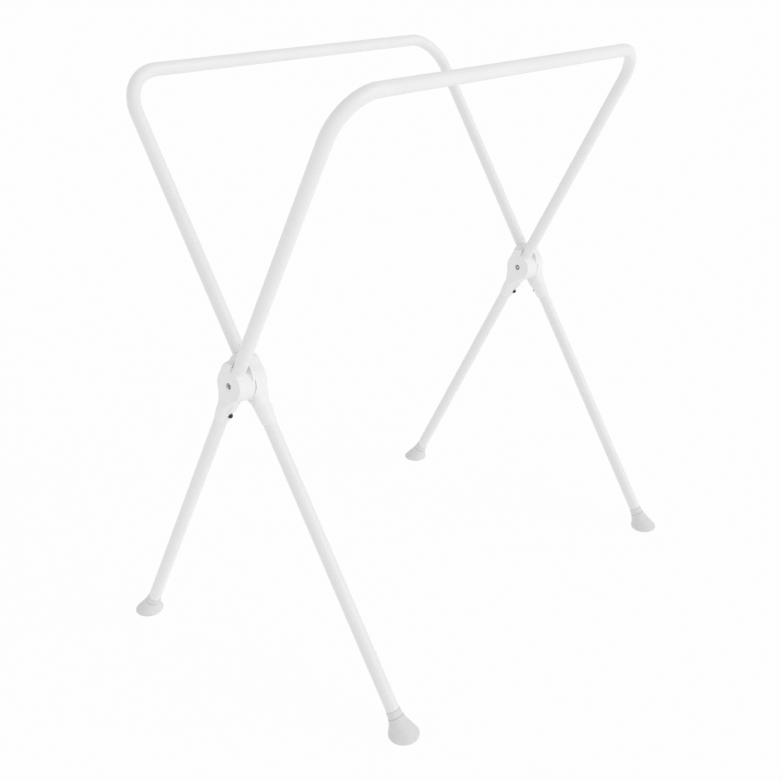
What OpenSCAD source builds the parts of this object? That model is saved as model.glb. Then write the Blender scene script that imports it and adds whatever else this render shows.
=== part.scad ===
// Folding stand for a baby bath. Two equal U-shaped tube frames cross at two plastic knuckles.
// Frame B stands with its rail at -Y, frame A is the same frame turned half a turn about Z.
// The origin is on the floor, midway between the four feet. X runs along the rails, Z is up.

/* [Frame] */
// Distance between the two arm axes of one frame
frame_width = 795; // [600:5:900]
// Height of the rail axes above the floor, stand open
rail_height = 985; // [820:5:1200]
// Distance between the two rail axes, stand open
rail_spacing = 504; // [420:2:560]
// Height of the fold axis above the floor, stand open
pivot_height = 532; // [490:2:570]

/* [Tubes] */
// Outside diameter of the tubes
tube_d = 22; // [20:0.5:26.5]
// Wall of the tubes
tube_wall = 1.2; // [1:0.1:2]
// Centreline radius of the two corners of a top tube
bend_radius = 70; // [55:1:100]

/* [Knuckles] */
// Plastic between a tube and its half's mating face
mate_wall = 5; // [4:0.2:8]
// Plastic between a tube and its half's outer face
cheek_wall = 1.2; // [1:0.1:4]
// Gap between the mating faces of two halves
face_gap = 1.4; // [1:0.1:2]
// Radius of the round hub at its outer face
hub_radius = 26; // [24:0.5:32]
// How much wider the hub is at its mating face, on the radius
hub_flare = 5.5; // [3:0.5:7]
// Radius of the head at the outer face
head_radius = 24.5; // [22:0.5:28]
// How much wider the head is at the mating face, on the radius
head_flare = 5.5; // [3:0.5:7]
// Centre of the head, from the fold axis towards the inner side
head_y = 5; // [3:0.5:7]
// Centre of the head, from the fold axis up along the arm
head_z = 13; // [9:0.5:16]
// Width of the head's lug beside the arm
lug_width = 14.5; // [10:0.5:17]
// Depth of the lug's lip over the arm's side, from the arm's widest line towards its middle
lug_lip = 3; // [0.5:0.5:5]
// Gap between the hub and the arm's end
arm_gap = 0.5; // [0.5:0.5:6]
// Length of the spigot beyond its rivet
spigot_over = 15; // [8:1:40]
// Wall of the hollow spigot
spigot_wall = 3; // [2:0.5:4]
// Distance of the leg's end from the fold axis
leg_seat = 19; // [15:0.5:23]
// Level at which the hub starts to narrow to the sleeve, below the fold axis
shoulder = 16; // [14:0.5:20]
// Length of that narrowing below the hub's edge
shoulder_length = 10.5; // [6:0.5:20]
// Wall of the sleeve round the leg
sleeve_wall = 2.6; // [1.5:0.1:4]
// Wall of the sleeve at its lower end
sleeve_lip = 0.8; // [0.6:0.1:1.4]
// Length of the sleeve below its screw
sleeve_over = 18; // [12:1:40]
// Length of the sleeve's tapered lower end
sleeve_taper = 20; // [10:1:24]
// Height of the screw's seat above the sleeve
seat_rise = 0.55; // [0.35:0.1:2.35]
// Height of the web above the screw's seat, at the end of the shoulders
web_rise = 3.4; // [1:0.2:5]

/* [Fold stop] */
// Diameter of the stop peg on a mating face
peg_d = 6; // [5:0.5:7.5]
// Gap between the thrust washer and the peg's groove
peg_gap = 3.85; // [2.85:0.5:4.85]
// Depth to which the peg reaches into the other half
peg_reach = 2.2; // [1.5:0.1:3]
// Fold travel from open to folded
fold_travel = 53; // [40:0.5:54]

/* [Pivot hardware] */
// Outside diameter of the steel bush
bush_d = 8; // [7:0.5:9.5]
// Diameter of the bolt shank
bolt_d = 5; // [4:0.5:6]
// Diameter of the bolt head
bolt_head_d = 9.5; // [8:0.5:11.5]
// Height of the bolt head
bolt_head_h = 3.5; // [2.5:0.5:5]
// Size of the lock nut across its flats
nut_flats = 8; // [7:0.5:10]
// Height of the lock nut
nut_h = 5; // [4:0.5:6]
// How far the bolt's end stands out of its nut
bolt_proud = 0.5; // [0.5:0.5:2]
// How far the bolt's end lies inside the outer face
bolt_sunk = 1.4; // [0.4:0.5:3.4]
// Diameter of the steel washers
washer_d = 10; // [9:0.5:12]
// Thickness of the steel washers
washer_h = 1; // [0.8:0.1:1.6]
// Gap round the hardware in the round recess of an outer face
recess_gap = 0.4; // [0.3:0.1:2]
// Diameter of the plastic thrust washer
thrust_d = 26; // [20:1:30]

/* [Screws and rivets] */
// Diameter of the leg screw's shank
screw_d = 4; // [3.5:0.5:5]
// Length of the leg screw under its head
screw_length = 12; // [9:0.5:14]
// Diameter of the leg screw's head
screw_head_d = 8.4; // [7:0.2:9]
// Height of the leg screw's head
screw_head_h = 4.4; // [2.4:0.2:4.4]
// Border of the web round the leg screw's head
screw_border = 1.8; // [1:0.2:4]
// Distance of the leg screw below the end of the shoulders
screw_gap = 16; // [12:1:30]
// Diameter of the arm rivet's shank
rivet_d = 4; // [3:0.5:5]
// Diameter of the arm rivet's head
rivet_head_d = 7.2; // [6:0.2:9]
// Height of the arm rivet's head
rivet_head_h = 1.4; // [1:0.1:2]
// Distance of the arm rivet above the head of the knuckle
rivet_gap = 9; // [6:1:30]

/* [Feet] */
// Diameter of the boot's foot
foot_d = 50; // [44:1:60]
// Height of the boot's round foot
foot_h = 6.5; // [5:0.5:14]
// Rounding of the foot's lower edge
foot_round = 4.5; // [3:0.5:5]
// Wall of the boot round the leg, at the top of its bell
bell_wall = 2.25; // [1.5:0.25:4]
// Top of the bell, along the leg from the floor
bell_top = 32; // [28:1:38]
// Width of the groove between the bell and the collar
seam_width = 1.6; // [1:0.2:2.4]
// Wall of the boot's collar just above the groove
collar_root = 1.5; // [1:0.25:3]
// Wall of the boot at the top of its collar
collar_wall = 0.6; // [0.4:0.1:3]
// Height of the collar above the groove
collar_height = 10.4; // [6.4:1:20.4]
// Least thickness of the sole under the leg
sole_wall = 5.1; // [4.1:0.5:9.1]

/* [Hidden] */
$fn = 96;
// A cut goes this far past the faces that it opens
over = 1;
// Joined solids reach this far into each other
bed = 1;
// Play between pieces that are pushed together, on the radius and over an arm's seat
fit_play = 0.05;
// Play of the bush in a knuckle, on the radius
turn_play = 0.05;
// Play at each end of the stop groove, along the arc
stop_play = 0.15;
// Play of a washer between two faces, at each side
face_play = 0.1;

tube_r = tube_d / 2;
bore_r = tube_r - tube_wall;
socket_r = tube_r + fit_play;
rail_rise = rail_height - pivot_height;
// Lean of both frames from the vertical
lean = atan(rail_spacing / 2 / rail_rise);
arm_length = rail_rise / cos(lean);
leg_length = pivot_height / cos(lean);
mate_x = -face_gap / 2;
tube_x = mate_x - mate_wall - tube_r;
face_x = tube_x - tube_r - cheek_wall;
half_depth = mate_x - face_x;
hub_flange = hub_radius + hub_flare;
head_flange = head_radius + head_flare;
// The arm ends just clear of the hub, which is widest at the arm's side towards the mating face
arm_seat = hub_radius + hub_flare * (half_depth - mate_wall) / half_depth + arm_gap;
rivet_place = head_z + head_flange + rivet_gap;
spigot_end = rivet_place + spigot_over;
spigot_r = bore_r - fit_play;
// The shoulders start and end this far inside the outlines of the hub and the sleeve
hull_inset = 0.5;
shoulder_y = sqrt(pow(hub_radius, 2) - pow(shoulder, 2)) - hull_inset;
shoulder_end = hub_flange + shoulder_length;
screw_place = shoulder_end + screw_gap;
sleeve_end = screw_place + sleeve_over;
sleeve_r = socket_r + sleeve_wall;
sleeve_lip_r = socket_r + sleeve_lip;
// Flat of the seat beyond the screw's head
seat_margin = 0.4;
web_width = screw_head_d + 2 * screw_border;
seat_y = sleeve_r + seat_rise;
peg_radius = thrust_d / 2 + peg_gap + stop_play + peg_d / 2;
recess_d = max(bolt_head_d, washer_d, nut_flats / cos(30)) + 2 * recess_gap;
recess_depth = face_play + washer_h + max(nut_h + bolt_proud, bolt_head_h) + bolt_sunk;
recess_x = face_x + recess_depth;
// The bush ends a little proud of the floors of the recesses, with a washer on each end
bush_x = recess_x - face_play;
washer_x = bush_x - washer_h;
head_x = washer_x - bolt_head_h;
// Distance of a foot's middle from the plane between the frames
foot_y = pivot_height * tan(lean);
// End of the leg, along the leg from the floor
leg_gap = (sole_wall + socket_r * sin(lean)) / cos(lean);
bell_r = socket_r + bell_wall;
// Straight upper edge of the bell
bell_rim = 4;
// Wall of the boot at the bottom of its groove
neck_wall = 0.6;
collar_top = bell_top + seam_width + collar_height;
// Bearing of the peg of frame B, from straight up towards +Y, stand open
peg_bearing = 75;
// The groove is this much deeper than the peg's reach
groove_spare = 0.5;
groove_depth = peg_reach + groove_spare;
// Part of the lock nut's height that is hexagonal, and how far its round collar lies inside the flats
hexagon_part = 0.7;
collar_inset = 0.3;
// Cross recess of a leg screw
cross_width = 1;
cross_depth = 1.2;
cross_length = 0.4 * screw_head_d;
// Straight lower edge of a leg screw's head
screw_rim = 0.4;
// An arm rivet's head lies this far clear of the arm
head_bed = 0.02;
// The blind end of an arm rivet stands this far inside the spigot
rivet_blind = 1.5;
// The foot narrows by this much to its top, on the radius
foot_taper = 1.5;
LEFT = -1;
RIGHT = 1;
WHITE = [0.93, 0.93, 0.92];
PLASTIC = [0.9, 0.9, 0.89];
STEEL = [0.55, 0.56, 0.57];
BLACK = [0.06, 0.06, 0.06];

// ---- Placing -------------------------------------------------------------------------------
// Inside frame_b and frame_a, z runs up along the arms, y points between the two rails.

module frame_b() translate([0, 0, pivot_height]) rotate([lean, 0, 0]) children();

module frame_a() rotate([0, 0, 180]) frame_b() children();

// The middle of one knuckle, on the fold axis, in a frame's own coordinates
module knuckle_b(side) frame_b() translate([side * frame_width / 2, 0, 0]) children();

module knuckle_a(side) frame_a() translate([-side * frame_width / 2, 0, 0]) children();

// The middle of one foot, on the floor, with the frame's y direction but upright
module foot_b(side) translate([side * frame_width / 2 + tube_x, foot_y, 0]) children();

module foot_a(side) rotate([0, 0, 180]) foot_b(-side) children();

// The middle of one pivot, with x pointing from the bolt's head to its nut
module pivot(side) translate([side * frame_width / 2, 0, pivot_height])
    rotate([0, 0, side == LEFT ? 0 : 180]) children();

// A cylinder along x, from x0 to x1
module rod_x(x0, x1, d) translate([x0, 0, 0]) rotate([0, 90, 0]) cylinder(h = x1 - x0, d = d);

// A cone along x, from radius r0 at x0 to radius r1 at x1
module cone_x(x0, x1, r0, r1) translate([x0, 0, 0]) rotate([0, 90, 0])
    cylinder(h = x1 - x0, r1 = r0, r2 = r1);

// An outline in (y, z), given the depth from x0 to x1
module slab(x0, x1) translate([x0, 0, 0]) rotate([90, 0, 90]) linear_extrude(height = x1 - x0) children();

// ---- Tubes ---------------------------------------------------------------------------------

// One frame's U, solid, with its free ends longer by the given amount
module u_bar(r, longer) translate([0, 0, arm_length]) {
    straight = arm_length - bend_radius - arm_seat - fit_play + longer;
    reach = frame_width / 2 - bend_radius;
    for (side = [LEFT, RIGHT])
        mirror([side == LEFT ? 1 : 0, 0, 0]) translate([reach, 0, -bend_radius]) {
            rotate([90, 0, 0]) rotate_extrude(angle = 90) translate([bend_radius, 0]) circle(r = r);
            translate([bend_radius, 0, -straight]) cylinder(h = straight, r = r);
        }
    translate([-reach, 0, 0]) rotate([0, 90, 0]) cylinder(h = 2 * reach, r = r);
}

module top_tube() color(WHITE) translate([tube_x, 0, 0]) difference() {
    u_bar(tube_r, 0);
    u_bar(bore_r, over);
    for (side = [LEFT, RIGHT])
        translate([side * frame_width / 2, 0, rivet_place]) rotate([-90, 0, 0])
            cylinder(h = tube_d, d = rivet_d + 2 * fit_play);
}

module leg() color(WHITE) translate([tube_x, 0, 0]) difference() {
    translate([0, 0, leg_gap - leg_length]) difference() {
        cylinder(h = leg_length - leg_gap - leg_seat, r = tube_r);
        translate([0, 0, -over]) cylinder(h = leg_length - leg_gap - leg_seat + 2 * over, r = bore_r);
    }
    translate([0, 0, -screw_place]) rotate([90, 0, 0]) cylinder(h = tube_d, d = screw_d + 2 * fit_play);
}

// ---- Knuckles ------------------------------------------------------------------------------

// The part of the head that lies beyond x0 and beyond y0
module head_slice(x0, y0) intersection() {
    translate([0, head_y, head_z]) cone_x(face_x, mate_x, head_radius, head_flange);
    translate([x0, y0, 0]) cube([mate_x - x0, socket_r + lug_width - y0, head_z + head_flange + over]);
}

module knuckle_body() {
    // Hub, wider at its mating face
    cone_x(face_x, mate_x, hub_radius, hub_flange);
    // Head: a lug beside the arm over the full depth, and a flange behind the arm
    difference() {
        head_slice(face_x, socket_r - lug_lip);
        translate([tube_x, 0, arm_seat]) cylinder(h = head_z + head_flange, r = socket_r);
    }
    head_slice(tube_x + socket_r, -hub_flange);
    // Seat for the arm's end, and the spigot that goes into it
    translate([tube_x, 0, 0]) cylinder(h = arm_seat, r = tube_r);
    translate([tube_x, 0, 0]) cylinder(h = spigot_end, r = spigot_r);
    // Shoulders, from the hub to the sleeve
    hull() {
        translate([face_x, -shoulder_y, -shoulder - bed]) cube([half_depth, 2 * shoulder_y, bed]);
        translate([tube_x, 0, -shoulder_end - 4 * bed])
            cylinder(h = bed, r = sleeve_r - hull_inset, $fn = 32);
    }
    // Sleeve round the leg, with its tapered end
    translate([tube_x, 0, sleeve_taper - sleeve_end])
        cylinder(h = sleeve_end - sleeve_taper - shoulder_end, r = sleeve_r);
    translate([tube_x, 0, -sleeve_end]) cylinder(h = sleeve_taper, r1 = sleeve_lip_r, r2 = sleeve_r);
    // Web from the hub down the inner side of the sleeve, with the flat seat of the screw
    slab(tube_x - web_width / 2, tube_x + web_width / 2)
        polygon([
            [0, -shoulder], [-shoulder_y - bed, -shoulder], [-seat_y - web_rise, -shoulder_end - 3 * bed],
            [-seat_y, -screw_place + screw_head_d / 2 + seat_margin], [-seat_y, -screw_place - web_width / 2],
            [-sleeve_lip_r, -sleeve_end], [0, -sleeve_end]
        ]);
}

// Arc-shaped groove for the other half's peg. That peg starts at the mirrored bearing.
module stop_groove() {
    groove_r = peg_d / 2 + stop_play;
    end_turn = asin(groove_r / peg_radius);
    rotate([-lean, 0, 0]) translate([mate_x - groove_depth, 0, 0]) rotate([90, 0, 90])
        rotate([0, 0, 90 + peg_bearing - end_turn]) rotate_extrude(angle = fold_travel + 2 * end_turn)
            translate([peg_radius - groove_r, 0]) square([2 * groove_r, groove_depth + over]);
}

module knuckle() color(PLASTIC) difference() {
    union() {
        knuckle_body();
        // Stop peg
        rotate([-lean, 0, 0])
            translate([0, peg_radius * sin(peg_bearing), peg_radius * cos(peg_bearing)])
                rod_x(mate_x - bed, -mate_x + peg_reach, peg_d);
    }
    // Bore for the bush, and the recess for a bolt head or a nut
    rod_x(face_x - over, mate_x + over, bush_d + 2 * turn_play);
    rod_x(face_x - 2 * over, recess_x, recess_d);
    // Hollow of the spigot
    translate([tube_x, 0, arm_seat - spigot_wall])
        cylinder(h = spigot_end - arm_seat + spigot_wall + over, r = spigot_r - spigot_wall);
    // Socket for the leg
    translate([tube_x, 0, -sleeve_end - over]) cylinder(h = sleeve_end + over - leg_seat, r = socket_r);
    // Holes for the rivet and the screw
    translate([tube_x, 0, rivet_place]) rotate([-90, 0, 0]) cylinder(h = tube_d, d = rivet_d + 2 * fit_play);
    translate([tube_x, 0, -screw_place]) rotate([90, 0, 0]) cylinder(h = tube_d, d = screw_d + 2 * fit_play);
    stop_groove();
}

// ---- Pivot hardware ------------------------------------------------------------------------

// Button-head bolt, with a hexagon socket in its head
module pivot_bolt() color(STEEL) difference() {
    union() {
        rod_x(head_x, washer_x, bolt_head_d);
        rod_x(washer_x - bed, -washer_x + nut_h + bolt_proud, bolt_d);
    }
    translate([head_x - over, 0, 0]) rotate([0, 90, 0])
        cylinder(h = bolt_head_h / 2 + over, d = bolt_head_d / 2, $fn = 6);
}

// Lock nut: a hexagon with a round collar over its nylon ring
module pivot_nut() color(STEEL) difference() {
    union() {
        translate([-washer_x, 0, 0]) rotate([0, 90, 0])
            cylinder(h = nut_h * hexagon_part, d = nut_flats / cos(30), $fn = 6);
        rod_x(-washer_x, -washer_x + nut_h, nut_flats - 2 * collar_inset);
    }
    rod_x(0, -washer_x + nut_h + over, bolt_d + 2 * fit_play);
}

module pivot_bush() color(STEEL) difference() {
    rod_x(bush_x, -bush_x, bush_d);
    rod_x(bush_x - over, over - bush_x, bolt_d + 2 * fit_play);
}

// One washer under the bolt's head and one under the nut
module pivot_washers() color(STEEL) for (x = [washer_x, -bush_x]) difference() {
    rod_x(x, x + washer_h, washer_d);
    rod_x(x - over, x + washer_h + over, bolt_d + 2 * fit_play);
}

// Plastic washer round the bush, between the mating faces
module thrust_washer() color(PLASTIC) difference() {
    rod_x(mate_x + face_play, -mate_x - face_play, thrust_d);
    rod_x(mate_x, -mate_x, bush_d + 2 * turn_play);
}

// ---- Screws and rivets ---------------------------------------------------------------------

// Dome-head screw through the web and one wall of the leg, with a cross recess
module leg_screw() color(BLACK) translate([tube_x, -seat_y, -screw_place]) rotate([90, 0, 0]) difference() {
    dome_h = screw_head_h - screw_rim;
    dome_r = (pow(screw_head_d / 2, 2) + pow(dome_h, 2)) / (2 * dome_h);
    union() {
        cylinder(h = screw_rim, d = screw_head_d);
        intersection() {
            translate([0, 0, screw_head_h - dome_r]) sphere(r = dome_r);
            translate([0, 0, screw_rim]) cylinder(h = screw_head_h, r = screw_head_d);
        }
        translate([0, 0, -screw_length]) cylinder(h = screw_length + screw_rim, d = screw_d);
    }
    for (turn = [0, 90])
        rotate([0, 0, turn]) translate([-cross_length / 2, -cross_width / 2, screw_head_h - cross_depth])
            cube([cross_length, cross_width, cross_depth + over]);
}

// Blind rivet through the arm and the spigot, its head bedded on the tube
module arm_rivet() color(WHITE) translate([tube_x, 0, rivet_place]) difference() {
    rotate([-90, 0, 0]) {
        translate([0, 0, spigot_r - spigot_wall - rivet_blind])
            cylinder(h = tube_r - spigot_r + spigot_wall + rivet_blind + rivet_head_h / 3, d = rivet_d);
        translate([0, 0, tube_r - bed]) cylinder(h = bed + rivet_head_h / 2, d = rivet_head_d);
        translate([0, 0, tube_r + rivet_head_h / 2])
            cylinder(h = rivet_head_h / 2, d1 = rivet_head_d, d2 = rivet_head_d / 2);
    }
    // The head's underside follows the tube
    difference() {
        translate([0, 0, -rivet_head_d]) cylinder(h = 2 * rivet_head_d, r = tube_r + head_bed);
        rotate([-90, 0, 0]) cylinder(h = tube_d, d = rivet_d);
    }
}

// ---- Boots ---------------------------------------------------------------------------------

// Round foot, flat on the floor, with a rounded lower edge
module foot() rotate_extrude($fn = 48) polygon(concat(
    [[0, 0]],
    [for (turn = [0:15:90])
        [foot_d / 2 - foot_round * (1 - sin(turn)), foot_round * (1 - cos(turn))]],
    [[foot_d / 2 - foot_taper, foot_h], [0, foot_h]]
));

// A cone round the leg, between two distances from the floor
module on_leg(low, high, r_low, r_high) rotate([lean, 0, 0]) translate([0, 0, low])
    cylinder(h = high - low, r1 = r_low, r2 = r_high);

module boot() color(PLASTIC) difference() {
    union() {
        // Bell, from the round foot up to the leg
        hull() {
            foot();
            on_leg(bell_top - bell_rim, bell_top, bell_r, bell_r, $fn = 48);
        }
        // Collar, and the neck that joins it to the bell under the groove
        on_leg(leg_gap, bell_top + seam_width + bed, socket_r + neck_wall, socket_r + neck_wall);
        on_leg(bell_top + seam_width, collar_top, socket_r + collar_root, socket_r + collar_wall);
    }
    on_leg(leg_gap, collar_top + over, socket_r, socket_r);
}

frame_a() top_tube();  // a_top_tube
frame_b() top_tube();  // b_top_tube
knuckle_a(LEFT) leg();  // a_leg_left
knuckle_a(RIGHT) leg();  // a_leg_right
knuckle_b(LEFT) leg();  // b_leg_left
knuckle_b(RIGHT) leg();  // b_leg_right
knuckle_a(LEFT) knuckle();  // a_knuckle_left
knuckle_a(RIGHT) knuckle();  // a_knuckle_right
knuckle_b(LEFT) knuckle();  // b_knuckle_left
knuckle_b(RIGHT) knuckle();  // b_knuckle_right
foot_a(LEFT) boot();  // a_boot_left
foot_a(RIGHT) boot();  // a_boot_right
foot_b(LEFT) boot();  // b_boot_left
foot_b(RIGHT) boot();  // b_boot_right
pivot(LEFT) pivot_bolt();  // pivot_bolt_left
pivot(RIGHT) pivot_bolt();  // pivot_bolt_right
pivot(LEFT) pivot_nut();  // pivot_nut_left
pivot(RIGHT) pivot_nut();  // pivot_nut_right
pivot(LEFT) pivot_bush();  // pivot_bush_left
pivot(RIGHT) pivot_bush();  // pivot_bush_right
pivot(LEFT) pivot_washers();  // pivot_washers_left
pivot(RIGHT) pivot_washers();  // pivot_washers_right
pivot(LEFT) thrust_washer();  // thrust_washer_left
pivot(RIGHT) thrust_washer();  // thrust_washer_right
knuckle_a(LEFT) leg_screw();  // a_leg_screw_left
knuckle_a(RIGHT) leg_screw();  // a_leg_screw_right
knuckle_b(LEFT) leg_screw();  // b_leg_screw_left
knuckle_b(RIGHT) leg_screw();  // b_leg_screw_right
knuckle_a(LEFT) arm_rivet();  // a_arm_rivet_left
knuckle_a(RIGHT) arm_rivet();  // a_arm_rivet_right
knuckle_b(LEFT) arm_rivet();  // b_arm_rivet_left
knuckle_b(RIGHT) arm_rivet();  // b_arm_rivet_right
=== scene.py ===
import math

import bpy
import numpy as np
from mathutils import Matrix, Vector


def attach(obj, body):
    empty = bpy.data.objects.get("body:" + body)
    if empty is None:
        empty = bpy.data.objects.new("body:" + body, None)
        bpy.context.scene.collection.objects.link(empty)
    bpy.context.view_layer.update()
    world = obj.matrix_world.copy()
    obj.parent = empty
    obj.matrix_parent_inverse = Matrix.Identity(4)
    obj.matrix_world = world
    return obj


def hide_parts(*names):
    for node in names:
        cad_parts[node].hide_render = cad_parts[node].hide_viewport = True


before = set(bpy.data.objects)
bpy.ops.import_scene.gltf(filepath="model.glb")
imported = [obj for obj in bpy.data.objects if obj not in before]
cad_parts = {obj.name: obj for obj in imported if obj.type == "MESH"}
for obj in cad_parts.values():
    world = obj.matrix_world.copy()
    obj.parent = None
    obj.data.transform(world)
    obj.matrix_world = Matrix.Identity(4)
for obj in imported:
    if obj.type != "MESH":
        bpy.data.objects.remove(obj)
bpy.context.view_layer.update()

MM = 0.001

# ---- Camera ---------------------------------------------------------------------------------
# A camera 1.15 m over the floor, to the left of the stand and in front of it, looking down over
# the near knuckle. Its place, its slight roll and the picture's offset come from the photograph.

PICTURE = 781
focal_px = 1043.25
heading, tilt, roll = math.radians(50.24), math.radians(19.34), math.radians(-1.31)
aim = Vector((0.0870, 0.0668, 0.4731))
reach = 2.0312
centre_px = (407.53, 324.21)

away = Vector((-math.sin(heading) * math.cos(tilt), -math.cos(heading) * math.cos(tilt), math.sin(tilt)))
across = (-away).cross(Vector((0, 0, 1))).normalized()
upward = across.cross(-away)
side_axis = across * math.cos(roll) + upward * math.sin(roll)
up_axis = upward * math.cos(roll) - across * math.sin(roll)
camera = bpy.data.objects.new("camera", bpy.data.cameras.new("camera"))
camera.matrix_world = Matrix.Translation(aim + away * reach) @ Matrix(
    (side_axis, up_axis, away)
).transposed().to_4x4()
camera.data.sensor_width = 36
camera.data.lens = focal_px * camera.data.sensor_width / PICTURE
camera.data.shift_x = (PICTURE / 2 - centre_px[0]) / PICTURE
camera.data.shift_y = (centre_px[1] - PICTURE / 2) / PICTURE
camera.data.clip_start, camera.data.clip_end = 0.05, 200
bpy.context.collection.objects.link(camera)
bpy.context.scene.camera = camera
bpy.context.scene.view_settings.view_transform = "Standard"


# ---- Floor and light ------------------------------------------------------------------------
# A white studio: one wide white floor, a white surround that dims towards the top, and one very
# soft lamp in front, a little to the right. The floor is nearly all glow to the camera, with a
# faint shadow under the boots, and part glow, part paper in the light it throws on the stand.

class Tone:
    """One output in a shader tree, for use in sums and products."""

    def __init__(self, finish, socket):
        self.finish, self.socket = finish, socket

    def joined(self, operation, left, right):
        return self.finish.node("ShaderNodeMath", {"operation": operation}, {0: left, 1: right})

    def __add__(self, other):
        return self.joined("ADD", self, other)

    def __radd__(self, other):
        return self.joined("ADD", other, self)

    def __sub__(self, other):
        return self.joined("SUBTRACT", self, other)

    def __rsub__(self, other):
        return self.joined("SUBTRACT", other, self)

    def __mul__(self, other):
        return self.joined("MULTIPLY", self, other)

    def __rmul__(self, other):
        return self.joined("MULTIPLY", other, self)


class Finish:
    """The shader tree of one material, or of the world."""

    def __init__(self, owner, shader, **constants):
        owner.use_nodes = True
        self.owner, self.tree = owner, owner.node_tree
        self.shader = self.tree.nodes[shader]
        for name, value in constants.items():
            self.shader.inputs[name.replace("_", " ")].default_value = value

    def node(self, kind, settings=None, values=None, output=0):
        made = self.tree.nodes.new(kind)
        for name, value in (settings or {}).items():
            setattr(made, name, value)
        for name, value in (values or {}).items():
            if isinstance(value, Tone):
                self.tree.links.new(value.socket, made.inputs[name])
            else:
                made.inputs[name].default_value = value
        return Tone(self, made.outputs[output])

    def colour(self, amount, low, high):
        return self.node("ShaderNodeMix", {"data_type": "RGBA"}, {0: amount, 6: low, 7: high}, output=2)

    def between(self, value, low, high):
        return self.node(
            "ShaderNodeMapRange", {"interpolation_type": "SMOOTHSTEP"},
            {"Value": value, "From Min": low, "From Max": high},
        )

    def noise(self, place, size_mm, detail=2.0, roughness=0.5):
        return self.node(
            "ShaderNodeTexNoise", None,
            {"Vector": place, "Scale": 1 / (size_mm * MM), "Detail": detail, "Roughness": roughness},
        )

    def here(self):
        return self.node("ShaderNodeTexCoord", output="Object")

    def feed(self, **links):
        for name, tone in links.items():
            self.tree.links.new(tone.socket, self.shader.inputs[name.replace("_", " ")])

    def bump(self, height, distance_mm, strength=1.0):
        self.feed(Normal=self.node(
            "ShaderNodeBump", None, {"Height": height, "Distance": distance_mm * MM, "Strength": strength}
        ))


def grey(level, warmth=0.0):
    return (level + warmth, level, level - warmth, 1.0)


def linked(name, mesh, matrix=None):
    """A new object that shows the mesh, at its place in the row frame."""
    made = bpy.data.objects.new(name, mesh)
    if matrix is not None:
        made.matrix_world = matrix
    bpy.context.collection.objects.link(made)
    return made


floor_half, floor_drop = 60.0, 0.2 * MM
floor_mesh = bpy.data.meshes.new("floor")
floor_mesh.from_pydata(
    [(-floor_half, -floor_half, 0), (floor_half, -floor_half, 0), (floor_half, floor_half, 0),
     (-floor_half, floor_half, 0)],
    [], [(0, 1, 2, 3)],
)
floor = linked("floor", floor_mesh)
floor.location.z = -floor_drop
paper = Finish(
    bpy.data.materials.new("floor_white"), "Principled BSDF", Roughness=0.9, Specular_IOR_Level=0.0)
paper_dark, paper_light = grey(0.93), grey(0.95)
paper.feed(Base_Color=paper.colour(paper.noise(paper.here(), size_mm=900), paper_dark, paper_light))
seen = paper.node("ShaderNodeLightPath", output="Is Camera Ray")
seen_share, bounce_share, bounce = 0.93, 0.4, 1.3
white_light = paper.node(
    "ShaderNodeEmission", None, {"Color": grey(1.0), "Strength": bounce - seen * (bounce - 1.0)})
glow = seen * (seen_share - bounce_share) + bounce_share
lit = paper.node(
    "ShaderNodeMixShader", None, {0: glow, 1: Tone(paper, paper.shader.outputs[0]), 2: white_light})
paper.tree.links.new(lit.socket, paper.tree.nodes["Material Output"].inputs["Surface"])
floor_mesh.materials.append(paper.owner)

world = bpy.data.worlds.new("surround")
bpy.context.scene.world = world
surround = Finish(world, "Background", Color=grey(1.0))
rays = {name: surround.node("ShaderNodeLightPath", output=name)
        for name in ("Is Camera Ray", "Is Glossy Ray", "Is Transmission Ray")}
shown = surround.node(
    "ShaderNodeMath", {"operation": "MINIMUM"},
    {0: rays["Is Camera Ray"] + rays["Is Glossy Ray"] + rays["Is Transmission Ray"], 1: 1.0},
)
height = surround.node("ShaderNodeSeparateXYZ", None, {"Vector": surround.node(
    "ShaderNodeTexCoord", output="Generated")}, output="Z")
side_level, loss_overhead = 0.92, 0.20
light_level = side_level - surround.between(height, 0.0, 1.0) * loss_overhead
surround.feed(Strength=light_level + shown * (1.0 - light_level))

lamp = bpy.data.objects.new("lamp", bpy.data.lights.new("lamp", "SUN"))
lamp.data.energy = 0.70
lamp.data.angle = math.radians(50)
lamp_from = Vector((0.28, -0.90, 0.38))
lamp.rotation_mode = "QUATERNION"
lamp.rotation_quaternion = lamp_from.to_track_quat("Z", "Y")
bpy.context.collection.objects.link(lamp)


# ---- Tubes ----------------------------------------------------------------------------------
# Steel tube of 22 mm with a 1.2 mm wall, white powder coated. Each frame has one top tube, cold
# bent into a U with two 70 mm corners, and two straight legs that carry on the line of its arms.

frame_width = 795.0
rail_rise, rail_offset = 453.0, 252.0
pivot_height = 532.0
tube_r, bore_r = 11.0, 9.8
bend_r = 70.0
tube_x = -16.7
arm_seat, leg_seat, leg_gap, arm_play = 31.02, 19.0, 11.98, 0.05
lean = math.atan(rail_offset / rail_rise)
arm_length = rail_rise / math.cos(lean)
leg_length = pivot_height / math.cos(lean)
tube_sides, straight_steps, leg_steps, bend_steps = 64, 8, 9, 25
HALF_TURN = Matrix.Rotation(math.pi, 4, "Z")
FRAMES, SIDES = "ab", {"left": -1, "right": 1}


def frame_side(letter, side):
    """A frame's turn about the upright axis, and which way a knuckle lies once it is turned."""
    return (HALF_TURN, -side) if letter == "a" else (Matrix.Identity(4), side)


def frame_place(letter, side=0):
    """The fold axis in a frame's own coordinates, at one knuckle or midway between both."""
    turn, way = frame_side(letter, side)
    return (turn @ Matrix.Translation((0, 0, pivot_height * MM)) @ Matrix.Rotation(lean, 4, "X")
            @ Matrix.Translation((way * frame_width / 2 * MM, 0, 0)))


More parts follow.
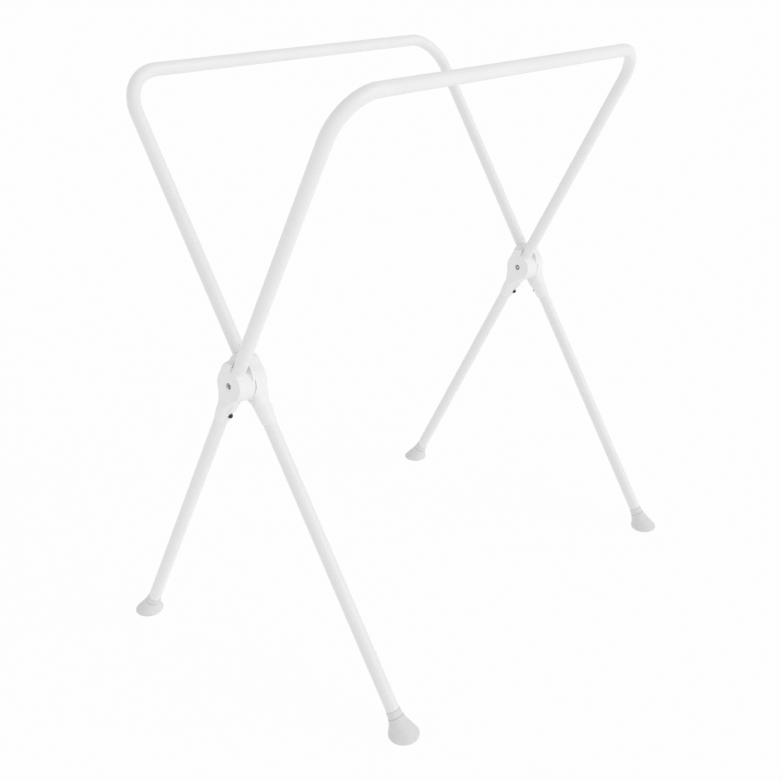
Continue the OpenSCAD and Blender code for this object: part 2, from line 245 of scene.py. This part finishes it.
def skin(name, points, faces, smooth_below=35.0):
    """A closed mesh from points in mm, shaded smooth except over edges sharper than the angle."""
    mesh = bpy.data.meshes.new(name)
    mesh.from_pydata([tuple(p) for p in np.asarray(points) * MM], [], faces)
    mesh.validate()
    mesh.shade_smooth()
    mesh.set_sharp_from_angle(angle=math.radians(smooth_below))
    return mesh


def loft(name, rings, wrap=False, smooth_below=35.0):
    """A closed skin over rings of equal length. The two ends are flat, or meet where it wraps."""
    rings = np.asarray(rings, float)
    count, around = rings.shape[:2]
    points = rings.reshape(-1, 3)
    faces = []
    for i in range(count if wrap else count - 1):
        a, b = i * around, (i + 1) % count * around
        faces += [(a + j, a + (j + 1) % around, b + (j + 1) % around, b + j) for j in range(around)]
    if not wrap:
        faces += [tuple(reversed(range(around))), tuple(range((count - 1) * around, count * around))]
    return skin(name, points, faces, smooth_below)


def tube_mesh(name, path, tangents, inward):
    """A tube with its wall, along a path of points, with its two edges deburred."""
    around = np.linspace(0, 2 * math.pi, tube_sides, endpoint=False)
    burr = 0.3
    path, tangents, inward = map(np.asarray, (path, tangents, inward))
    sideways = np.cross(tangents, inward)

    def ring(i, r, shift=0.0):
        centre = path[i] + tangents[i] * shift
        return centre + r * (np.outer(np.cos(around), inward[i]) + np.outer(np.sin(around), sideways[i]))

    last = len(path) - 1
    outer = [ring(0, tube_r - burr), ring(0, tube_r, burr)]
    outer += [ring(i, tube_r) for i in range(1, last)]
    outer += [ring(last, tube_r, -burr), ring(last, tube_r - burr)]
    inner = [ring(last, bore_r + burr), ring(last, bore_r, -burr)]
    inner += [ring(i, bore_r) for i in range(last - 1, 0, -1)]
    inner += [ring(0, bore_r, burr), ring(0, bore_r + burr)]
    return loft(name, outer + inner, wrap=True)


def top_tube_path():
    """Up one arm, round a corner, along the rail, round the other corner and down.

    Each step is a place on the axis, the way along it, and the way to the inside of the bend.
    """
    half, top = frame_width / 2 - bend_r, arm_length - bend_r
    path = []
    for z in np.linspace(arm_seat + arm_play, top, straight_steps):
        path.append(((-half - bend_r, 0, z), (0, 0, 1), (1, 0, 0)))
    for turn in np.radians(np.linspace(0, 90, bend_steps))[1:]:
        c, s = math.cos(turn), math.sin(turn)
        path.append(((-half - bend_r * c, 0, top + bend_r * s), (s, 0, c), (c, 0, -s)))
    for x in np.linspace(-half, half, straight_steps)[1:]:
        path.append(((x, 0, arm_length), (1, 0, 0), (0, 0, -1)))
    for turn in np.radians(np.linspace(90, 0, bend_steps))[1:]:
        c, s = math.cos(turn), math.sin(turn)
        path.append(((half + bend_r * c, 0, top + bend_r * s), (s, 0, -c), (-c, 0, -s)))
    for z in np.linspace(top, arm_seat + arm_play, straight_steps)[1:]:
        path.append(((half + bend_r, 0, z), (0, 0, -1), (-1, 0, 0)))
    points, tangents, inward = zip(*path)
    return np.array(points) + (tube_x, 0, 0), tangents, inward


coat_dark, coat_light, coat_speck = grey(0.75, 0.002), grey(0.79, 0.001), grey(0.58, 0.004)
coat = Finish(bpy.data.materials.new("white_powder_coat"), "Principled BSDF", Specular_IOR_Level=0.45)
place = coat.here()
patches = coat.noise(place, size_mm=70, detail=3)
peel = coat.noise(place, size_mm=1.6, detail=1.5)
specks = coat.between(coat.noise(place, size_mm=3.5, detail=4, roughness=0.7), low=0.70, high=0.78)
coat.feed(
    Base_Color=coat.colour(specks * 0.35, coat.colour(patches, coat_dark, coat_light), coat_speck),
    Roughness=0.30 + patches * 0.10 + specks * 0.1,
)
coat.bump(peel + patches * 0.5, distance_mm=0.05, strength=0.35)

top_tube = tube_mesh("top_tube", *top_tube_path())
leg_points = [(tube_x, 0, z) for z in np.linspace(-leg_seat, leg_gap - leg_length, leg_steps)]
leg = tube_mesh("leg", leg_points, [(0, 0, -1)] * leg_steps, [(1, 0, 0)] * leg_steps)
for mesh in (top_tube, leg):
    mesh.materials.append(coat.owner)


def fitted(name, mesh, matrix, body, slot, *nodes):
    """A finished piece at its place, on its body, standing for its CAD nodes."""
    made = linked(name, mesh, matrix)
    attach(made, body)
    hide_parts(*nodes)


for letter in FRAMES:
    body = f"frame_{letter}"
    fitted(f"top_tube_{letter}", top_tube, frame_place(letter), body, "coated_tube", f"{letter}_top_tube")
    for word, side in SIDES.items():
        fitted(f"leg_{letter}_{word}", leg, frame_place(letter, side), body, "coated_tube",
               f"{letter}_leg_{word}")


# ---- Knuckles -------------------------------------------------------------------------------
# Four equal mouldings in white satin plastic. Each has a coned hub, a lug beside its arm with a
# thin flange behind it, soft shoulders and a tapered sleeve for the leg, and a bolt recess.

face_x, mate_x = -28.9, -0.7
hub_r, hub_flange = 26.0, 31.5
head_r, head_flange, head_y, head_z, head_side = 24.5, 30.0, 5.0, 13.0, 25.5
lug_y = 8.2
shoulder, shoulder_end, sleeve_end, sleeve_taper = 16.0, 46.0, 76.0, 20.0
sleeve_r, sleeve_lip_r, socket_r = 13.65, 11.95, 11.05
pad_half, pad_height, screw_place = 6.0, 14.2, 58.0
web_down, web_out = (16.0, 45.0, 53.4, 64.0, 76.0), (21.1, 17.6, pad_height, pad_height, sleeve_lip_r)
spigot_end, spigot_r, spigot_bore = 67.0, 9.75, 6.75
recess_r, recess_x, bore_for_bush = 5.4, -20.9, 4.05
peg_r, peg_radius, peg_reach, groove_depth = 3.0, 20.0, 2.9, 2.7
peg_bearing, fold_travel = math.radians(75), math.radians(53)
shoulder_box, shoulder_top = (13.1, 20.4, 4.0), 8
lug_clearance, seat_clearance, flange_clearance, stop_play = 0.2, 0.4, 0.4, 0.15
sleeve_lap, spigot_root, peg_root = 2, 3, 1
net_low, net_high, net_step = (-32.1, -34, -78), (4.5, 34, 69), 0.8


def soft_min(a, b, width):
    mix = np.clip(0.5 + 0.5 * (b - a) / width, 0, 1)
    return b + (a - b) * mix - width * mix * (1 - mix)


def soft_max(a, b, width):
    return -soft_min(-a, -b, width)


def knuckle_depth(x, y, z):
    """How far a point lies outside the skin of a knuckle half, in mm. It is negative inside."""
    depth = (x - face_x) / (mate_x - face_x)
    from_tube = np.hypot(x - tube_x, y)
    # Hub, lug and flange share one outline, which the outer face then cuts
    head = np.hypot(y - head_y, z - head_z) - (head_r + (head_flange - head_r) * depth)
    head = soft_max(head, y - head_side, width=4.0)
    lug = soft_max(head, lug_y - y, width=1.2)
    arm_room = np.maximum(from_tube - socket_r - lug_clearance, arm_seat - seat_clearance - z)
    lug = soft_max(lug, -arm_room, width=0.8)
    flange = soft_max(head, tube_x + socket_r + flange_clearance - x, width=0.8)
    body = soft_min(np.hypot(y, z) - (hub_r + (hub_flange - hub_r) * depth), lug, width=2.5)
    body = soft_max(soft_min(body, flange, width=1.5), face_x - x, width=1.6)
    # Shoulders: a box with ever rounder corners, down to the round sleeve
    down = np.clip((-z - shoulder) / (shoulder_end - shoulder), 0, 1)
    down = down * down * (3 - 2 * down) * 0.5 + down * 0.5
    middle = (face_x + mate_x) / 2
    half_x, half_y, corner = (a + (sleeve_r - a) * down for a in shoulder_box)
    out_x = np.abs(x - middle - (tube_x - middle) * down) - half_x + corner
    out_y = np.abs(y) - half_y + corner
    box = np.hypot(np.maximum(out_x, 0), np.maximum(out_y, 0))
    box = box + np.minimum(np.maximum(out_x, out_y), 0) - corner
    body = soft_min(body, np.maximum(box, np.maximum(z + shoulder_top, -shoulder_end - z)), width=2.5)
    # Sleeve with a tapered end, the web that carries the screw, and the seat of the arm
    taper = np.clip((-z - sleeve_end + sleeve_taper) / sleeve_taper, 0, 1)
    sleeve = from_tube - (sleeve_r + (sleeve_lip_r - sleeve_r) * taper)
    sleeve = soft_max(sleeve, np.maximum(z + shoulder_end - sleeve_lap, -sleeve_end - z), width=1.0)
    body = np.minimum(body, sleeve)
    web = soft_max(np.abs(x - tube_x) - pad_half, -y - np.interp(-z, web_down, web_out), width=1.6)
    web = np.maximum(web, np.maximum(y, np.maximum(z + shoulder, -sleeve_end - z)))
    body = soft_min(body, web, width=1.6)
    body = soft_min(body, soft_max(from_tube - tube_r, z - arm_seat, width=0.6), width=2.0)
    spigot = np.maximum(from_tube - spigot_r, np.maximum(z - spigot_end, spigot_bore - from_tube))
    body = np.minimum(body, np.maximum(spigot, arm_seat - spigot_root - z))
    # Mating face, with the stop peg and the groove for the other half's peg. Both stand 58 degrees
    # from their places in the CAD, because the lean is counted with the wrong sign in the two
    body = soft_max(body, x - mate_x, width=0.9)
    bearing = np.arctan2(y, z) + lean
    swing = np.hypot(y, z)
    peg_y, peg_z = (peg_radius * f(peg_bearing - lean) for f in (math.sin, math.cos))
    peg = np.hypot(y - peg_y, z - peg_z) - peg_r
    peg = np.maximum(peg, np.maximum(x - peg_reach, mate_x - peg_root - x))
    centre = -peg_bearing - fold_travel / 2
    off = np.abs(bearing - centre) - fold_travel / 2
    groove = np.hypot(swing - peg_radius, np.maximum(off, 0) * peg_radius) - peg_r - stop_play
    groove = np.maximum(groove, mate_x - groove_depth - x)
    body = soft_max(np.minimum(body, peg), -groove, width=0.5)
    # Recess and bore of the pivot
    body = soft_max(body, -np.maximum(swing - recess_r, x - recess_x), width=0.9)
    return np.maximum(body, bore_for_bush - swing)


def surface_net(depth, low, high, step):
    """Points and four-sided faces of the skin where depth is zero, pulled onto it."""
    axes = [np.arange(a, b, step) for a, b in zip(low, high)]
    value = depth(*np.meshgrid(*axes, indexing="ij"))
    cells = tuple(n - 1 for n in value.shape)
    total, hits = np.zeros(cells + (3,)), np.zeros(cells)
    corners = [(i, j, k) for i in (0, 1) for j in (0, 1) for k in (0, 1)]

    def at(corner):
        return value[tuple(slice(c, c + n) for c, n in zip(corner, cells))]

    for a in corners:
        for axis in range(3):
            if a[axis]:
                continue
            b = tuple(c + (i == axis) for i, c in enumerate(a))
            va, vb = at(a), at(b)
            cross = (va < 0) != (vb < 0)
            part = np.where(cross, va / np.where(cross, va - vb, 1), 0)
            total += np.where(cross[..., None], np.array(a) + part[..., None] * (np.arange(3) == axis), 0)
            hits += cross
    found = hits > 0
    index = np.full(cells, -1)
    index[found] = np.arange(found.sum())
    points = np.array(low) + step * (np.argwhere(found) + total[found] / hits[found][:, None])
    faces = []
    for axis in range(3):
        u, v = [a for a in range(3) if a != axis]
        inner = [slice(None)] * 3
        inner[u] = inner[v] = slice(1, -1)
        here = value[tuple(inner)]
        first, second = (np.take(here, range(s, here.shape[axis] - 1 + s), axis) for s in (0, 1))
        for start_inside in (True, False):
            edge = np.argwhere((first < 0) & (second >= 0) if start_inside else (first >= 0) & (second < 0))
            edge[:, u] += 1
            edge[:, v] += 1
            quad = []
            for du, dv in ((-1, -1), (0, -1), (0, 0), (-1, 0)):
                cell = edge.copy()
                cell[:, u] += du
                cell[:, v] += dv
                quad.append(index[tuple(cell.T)])
            quad = np.array(quad).T
            faces.append(quad if start_inside == (axis != 1) else quad[:, ::-1])
    pulls, nudge_by, least_slope = 4, 0.01, 0.3
    for _ in range(pulls):
        here = depth(*points.T)
        slope = np.array([
            (depth(*(points + nudge).T) - depth(*(points - nudge).T)) / (2 * nudge_by)
            for nudge in np.eye(3) * nudge_by
        ]).T
        slope /= np.maximum((slope ** 2).sum(1), least_slope)[:, None]
        points -= np.clip(here[:, None] * slope, -step / 3, step / 3)
    return points, np.concatenate(faces).tolist()


moulded_dark, moulded_light = grey(0.78, 0.001), grey(0.82, 0.001)
moulded = Finish(
    bpy.data.materials.new("white_moulded_plastic"), "Principled BSDF", Specular_IOR_Level=0.4)
place = moulded.here()
flow = moulded.noise(place, size_mm=28, detail=2)
grain = moulded.noise(place, size_mm=0.45, detail=2)
moulded.feed(
    Base_Color=moulded.colour(flow, moulded_dark, moulded_light),
    Roughness=0.42 + grain * 0.10 + flow * 0.06,
)
moulded.bump(grain + flow * 2.0, distance_mm=0.03, strength=0.5)

knuckle = skin("knuckle", *surface_net(knuckle_depth, net_low, net_high, net_step), smooth_below=50)
knuckle.materials.append(moulded.owner)


def fitted_four(kind, mesh, slot, seat=Matrix.Identity(4)):
    """The same piece at each side of each frame, at its seat on the knuckle."""
    for letter in FRAMES:
        for word, side in SIDES.items():
            fitted(f"{kind}_{letter}_{word}", mesh, frame_place(letter, side) @ seat, f"frame_{letter}",
                   slot, f"{letter}_{kind}_{word}")


fitted_four("knuckle", knuckle, "knuckle_plastic")


# ---- Pivot hardware -------------------------------------------------------------------------
# One zinc-plated M5 button-head bolt per pivot, through a steel bush, with a washer at each end
# and a lock nut. A plastic washer keeps the two halves apart.

def disc_rings(radii, places, around=48):
    """Rings about x; a radius is a number or a function of the angle."""
    angle = np.linspace(0, 2 * math.pi, around, endpoint=False)
    rings = []
    for r, x in zip(radii, places):
        r = r(angle) if callable(r) else np.full(around, float(r))
        rings.append(np.stack([np.full(around, float(x)), r * np.cos(angle), r * np.sin(angle)], 1))
    return rings


def hexagon(flats, most=1e9):
    """Radius of a hexagon at an angle, cut by a circle of the given radius."""
    return lambda angle: np.minimum(
        flats / 2 / np.cos((angle + math.pi / 6) % (math.pi / 3) - math.pi / 6), most
    )


steel_dull, steel_bright = grey(0.42, -0.006), grey(0.60, -0.004)
steel = Finish(bpy.data.materials.new("zinc_plated_steel"), "Principled BSDF", Metallic=1.0)
place = steel.here()
bloom = steel.noise(place, size_mm=2.5, detail=3)
turned = steel.noise(place, size_mm=0.2, detail=1)
steel.feed(
    Base_Color=steel.colour(bloom, steel_dull, steel_bright),
    Roughness=0.26 + bloom * 0.18,
)
steel.bump(turned, distance_mm=0.01, strength=0.4)

washer_x, head_x, nut_x, bolt_end = -22.0, -25.5, 22.0, 27.5
hex_key, bolt_head_r, bolt_r, nut_flats = 3.4, 4.75, 2.5, 8.0
bolt = loft("pivot_bolt", disc_rings(
    [0.01, hexagon(hex_key), hexagon(hex_key), hexagon(3.7), 3.2, 4.1, 4.55, bolt_head_r, bolt_head_r, 4.6,
     bolt_r, bolt_r, 2.1, 0.01],
    [head_x + 1.7, head_x + 1.7, head_x + 0.25, head_x, head_x, head_x + 0.3, head_x + 0.9, head_x + 1.8,
     washer_x - 0.2, washer_x, washer_x, bolt_end - 0.4, bolt_end, bolt_end],
))
nut = loft("lock_nut", disc_rings(
    [2.55, 2.9, 3.7, hexagon(nut_flats, 4.2), hexagon(nut_flats, 4.62), hexagon(nut_flats, 4.62),
     hexagon(nut_flats, 4.2), 3.75, 3.7, 3.4, 2.8, 2.55],
    [nut_x, nut_x, nut_x, nut_x, nut_x + 0.35, nut_x + 3.1, nut_x + 3.5, nut_x + 3.7, nut_x + 4.6,
     nut_x + 5.0, nut_x + 5.0, nut_x + 4.7],
), wrap=True)
for mesh in (bolt, nut):
    mesh.materials.append(steel.owner)
for word, side in SIDES.items():
    pivot = Matrix.Translation((side * frame_width / 2 * MM, 0, pivot_height * MM))
    pivot = pivot @ (Matrix.Identity(4) if side < 0 else HALF_TURN)
    fitted(f"bolt_{word}", bolt, pivot, "frame_a", "zinc_steel", f"pivot_bolt_{word}")
    fitted(f"nut_{word}", nut, pivot, "frame_a", "zinc_steel", f"pivot_nut_{word}")


def recoat(node, finish):
    """A CAD node that stays in view takes this finish."""
    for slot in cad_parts[node].material_slots:
        slot.link = "OBJECT"
        slot.material = finish.owner


washer_dark, washer_light = grey(0.72, 0.004), grey(0.78, 0.004)
slick = Finish(bpy.data.materials.new("washer_plastic"), "Principled BSDF", Specular_IOR_Level=0.5)
cloud = slick.noise(slick.here(), size_mm=6)
slick.feed(Base_Color=slick.colour(cloud, washer_dark, washer_light), Roughness=0.28 + cloud * 0.1)
for word in SIDES:
    recoat(f"pivot_bush_{word}", steel)
    recoat(f"pivot_washers_{word}", steel)
    recoat(f"thrust_washer_{word}", slick)


# ---- Leg screws -----------------------------------------------------------------------------
# Black dome-head screws with a cross recess. Each goes through the web on a knuckle's sleeve
# into the wall of the leg.

black, black_rubbed = grey(0.010), grey(0.035)
blacked = Finish(bpy.data.materials.new("black_screw"), "Principled BSDF", Specular_IOR_Level=0.5)
place = blacked.here()
rubbed = blacked.between(blacked.noise(place, size_mm=1.2, detail=3), low=0.55, high=0.75)
blacked.feed(
    Base_Color=blacked.colour(rubbed, black, black_rubbed),
    Roughness=0.34 + rubbed * 0.2,
)
blacked.bump(blacked.noise(place, size_mm=0.3), distance_mm=0.01, strength=0.4)


def cross(span, arm):
    """Radius of a cross recess at an angle: four arms of the given half-width."""
    def radius(angle):
        c, s = np.abs(np.cos(angle)), np.abs(np.sin(angle))
        return np.minimum(arm / np.maximum(np.minimum(c, s), 1e-6), span)
    return radius


screw_head_h, screw_head_r, screw_r, screw_length = 4.4, 4.2, 2.0, 12.0
dome = [(math.radians(t), screw_head_r * math.cos(math.radians(t))) for t in (0, 12, 24, 36, 48, 58)]
screw_rings = disc_rings(
    [0.01, cross(0.9, 0.3), cross(1.7, 0.5), cross(1.75, 0.55)]
    + [r for _, r in reversed(dome)] + [screw_head_r - 0.2, screw_r, screw_r, 1.2, 0.01],
    [screw_head_h - 1.6, screw_head_h - 1.5, screw_head_h - 0.25, screw_head_h - 0.12]
    + [0.4 + (screw_head_h - 0.4) * math.sin(t) for t, _ in reversed(dome)]
    + [0.0, 0.0, 1.0 - screw_length, -screw_length, -screw_length],
    around=64,
)
screw = loft("leg_screw", screw_rings, smooth_below=40)
screw.materials.append(blacked.owner)
screw_turn = Matrix.Translation((tube_x * MM, -pad_height * MM, -screw_place * MM)) @ Matrix.Rotation(
    -math.pi / 2, 4, "Z"
)
fitted_four("leg_screw", screw, "black_screw", screw_turn)


# ---- Arm rivets -----------------------------------------------------------------------------
# White domed blind rivets, on the side of each arm that faces the other frame. They hold the
# arm on the knuckle's spigot.

rivet_dark, rivet_light = grey(0.76), grey(0.84)
painted = Finish(bpy.data.materials.new("painted_rivet"), "Principled BSDF", Specular_IOR_Level=0.45)
place = painted.here()
thin = painted.noise(place, size_mm=1.5, detail=3)
painted.feed(Base_Color=painted.colour(thin, rivet_dark, rivet_light), Roughness=0.32 + thin * 0.15)
painted.bump(thin, distance_mm=0.02, strength=0.4)

rivet_place = 52.0
rivet = loft("arm_rivet", disc_rings(
    [0.01, 0.9, 1.1, 1.2, 1.7, 2.6, 3.2, 3.5, 3.6, 3.4, 2.0, 2.0, 2.6, 2.6, 1.4, 0.01],
    [11.9, 11.9, 12.1, 12.5, 12.4, 12.15, 11.8, 11.4, 11.0, 10.6, 10.6, 6.4, 5.6, 5.0, 4.4, 4.4],
))
rivet.materials.append(painted.owner)
rivet_turn = Matrix.Translation((tube_x * MM, 0, rivet_place * MM)) @ Matrix.Rotation(math.pi / 2, 4, "Z")
fitted_four("arm_rivet", rivet, "white_rivet", rivet_turn)


# ---- Boots ----------------------------------------------------------------------------------
# Soft white plastic boots pushed onto the ends of the legs. Each is a slanted bell that ends in a
# round flat foot, with a groove and a short tapered collar round the leg above it.

foot_r, foot_edge = 25.0, 4.5
bell_r, bell_top, seam_width = 13.3, 32.0, 1.6
collar_root_r, collar_r, collar_top = 12.5, 11.7, 44.0
sole_groove, seam_wall = 0.8, 0.6
bell_rise, bell_settle, bell_steps = 2.2, 5.0, 22


def boot_rings(around=72):
    angle = np.linspace(0, 2 * math.pi, around, endpoint=False)
    round_x, round_y = np.cos(angle), np.sin(angle)
    up = np.array([0, -math.sin(lean), math.cos(lean)])
    ahead = np.array([0, math.cos(lean), math.sin(lean)])

    def flat(r, z):
        return np.stack([r * round_x, r * round_y, np.full(around, float(z))], 1)

    def tilted(r, far):
        return up * far + r * (np.outer(round_x, (1, 0, 0)) + np.outer(round_y, ahead))

    rings = [flat(0.01, sole_groove), flat(6, sole_groove), flat(6.6, 0), flat(12, 0),
             flat(12.5, sole_groove), flat(14, sole_groove), flat(14.5, 0)]
    for turn in np.radians(np.arange(0, 91, 11.25)):
        rings.append(flat(foot_r - foot_edge * (1 - math.sin(turn)), foot_edge * (1 - math.cos(turn))))
    # The bell leaves the foot upright and meets the leg along its axis
    start, end = rings[-1], tilted(bell_r, bell_top - 0.5)
    rise, settle = np.array([0, 0, bell_rise]), up * bell_settle
    for t in np.linspace(0, 1, bell_steps)[1:]:
        rings.append((1 - t) ** 3 * start + 3 * t * (1 - t) ** 2 * (start + rise)
                     + 3 * t * t * (1 - t) * (end - settle) + t ** 3 * end)
    groove_r = socket_r + seam_wall
    groove_top = bell_top + seam_width
    rings += [tilted(bell_r - 0.25, bell_top), tilted(groove_r + 0.2, bell_top + 0.05),
              tilted(groove_r, bell_top + 0.3), tilted(groove_r, groove_top - 0.3),
              tilted(groove_r + 0.2, groove_top - 0.05), tilted(collar_root_r - 0.3, groove_top)]
    rings += [tilted(collar_root_r, groove_top + 0.4), tilted(collar_r, collar_top - 0.4),
              tilted(collar_r - 0.25, collar_top), tilted(socket_r + 0.2, collar_top),
              tilted(socket_r, collar_top - 0.3), tilted(socket_r, leg_gap + 0.3), tilted(0.01, leg_gap)]
    return rings


boot_dark, boot_light, boot_scuff = grey(0.64, 0.001), grey(0.74, 0.001), grey(0.48, 0.004)
soft = Finish(bpy.data.materials.new("white_soft_plastic"), "Principled BSDF", Specular_IOR_Level=0.35)
place = soft.here()
mottle = soft.noise(place, size_mm=9, detail=4)
pores = soft.noise(place, size_mm=0.6, detail=2)
height = soft.node("ShaderNodeSeparateXYZ", None, {"Vector": place}, output="Z")
scuff_height = 7 * MM
worn = soft.between(soft.noise(place, size_mm=4, detail=4), low=0.45, high=0.7)
scuffs = (1.0 - soft.between(height, 0.0, scuff_height)) * worn
clean = soft.colour(mottle, boot_dark, boot_light)
soft.feed(
    Base_Color=soft.colour(scuffs * 0.6, clean, boot_scuff),
    Roughness=0.52 + mottle * 0.12,
)
soft.bump(pores + mottle * 2.0, distance_mm=0.05, strength=0.5)

boot = loft("boot", boot_rings(), smooth_below=50)
boot.materials.append(soft.owner)
foot_y = pivot_height * math.tan(lean)
for letter in FRAMES:
    for word, side in SIDES.items():
        turn, way = frame_side(letter, side)
        foot_place = turn @ Matrix.Translation(((way * frame_width / 2 + tube_x) * MM, foot_y * MM, 0))
        fitted(f"boot_{letter}_{word}", boot, foot_place, f"frame_{letter}", "boot_plastic",
               f"{letter}_boot_{word}")
